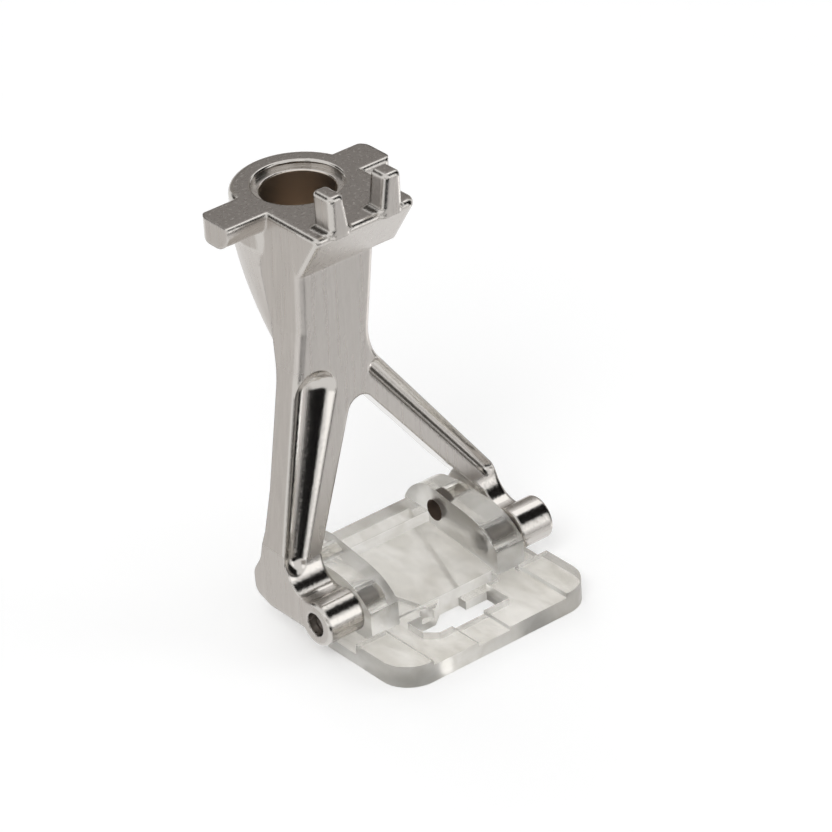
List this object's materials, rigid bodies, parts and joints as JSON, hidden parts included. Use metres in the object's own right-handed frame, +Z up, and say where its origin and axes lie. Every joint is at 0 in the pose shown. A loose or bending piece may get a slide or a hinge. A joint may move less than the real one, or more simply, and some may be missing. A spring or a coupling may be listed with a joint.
{
  "type": "sewing machine presser foot",
  "caption": "Low-shank presser foot: cast fork with a round screw socket and studs on its head, and a clear tilting sole with a needle slot between two hinge ridges.",
  "frame": {"origin": "on the socket's axis, at the ledge where the socket's bore begins", "axes": "+Z up along the socket's axis, +X to the right along the pivot axis seen from the front, +Y to the back"},
  "size_m": [0.0254, 0.0255, 0.0423],
  "materials": {
    "nickel_plate": "satin nickel plate",
    "pin_steel": "turned steel",
    "clear_plastic": "clear moulded plastic, slightly hazy"
  },
  "bodies": {
    "fork": {"shank": "nickel_plate", "pivot_pin_left": "pin_steel", "pivot_pin_right": "pin_steel"},
    "sole": {"sole": "clear_plastic"}
  },
  "joints": [
    {"name": "sole_tilt", "type": "hinge", "parent": "fork", "child": "sole", "pos_m": [0.0035, -0.0101, -0.03475], "axis": [1, 0, 0], "range_deg": [-12, 3]}
  ]
}
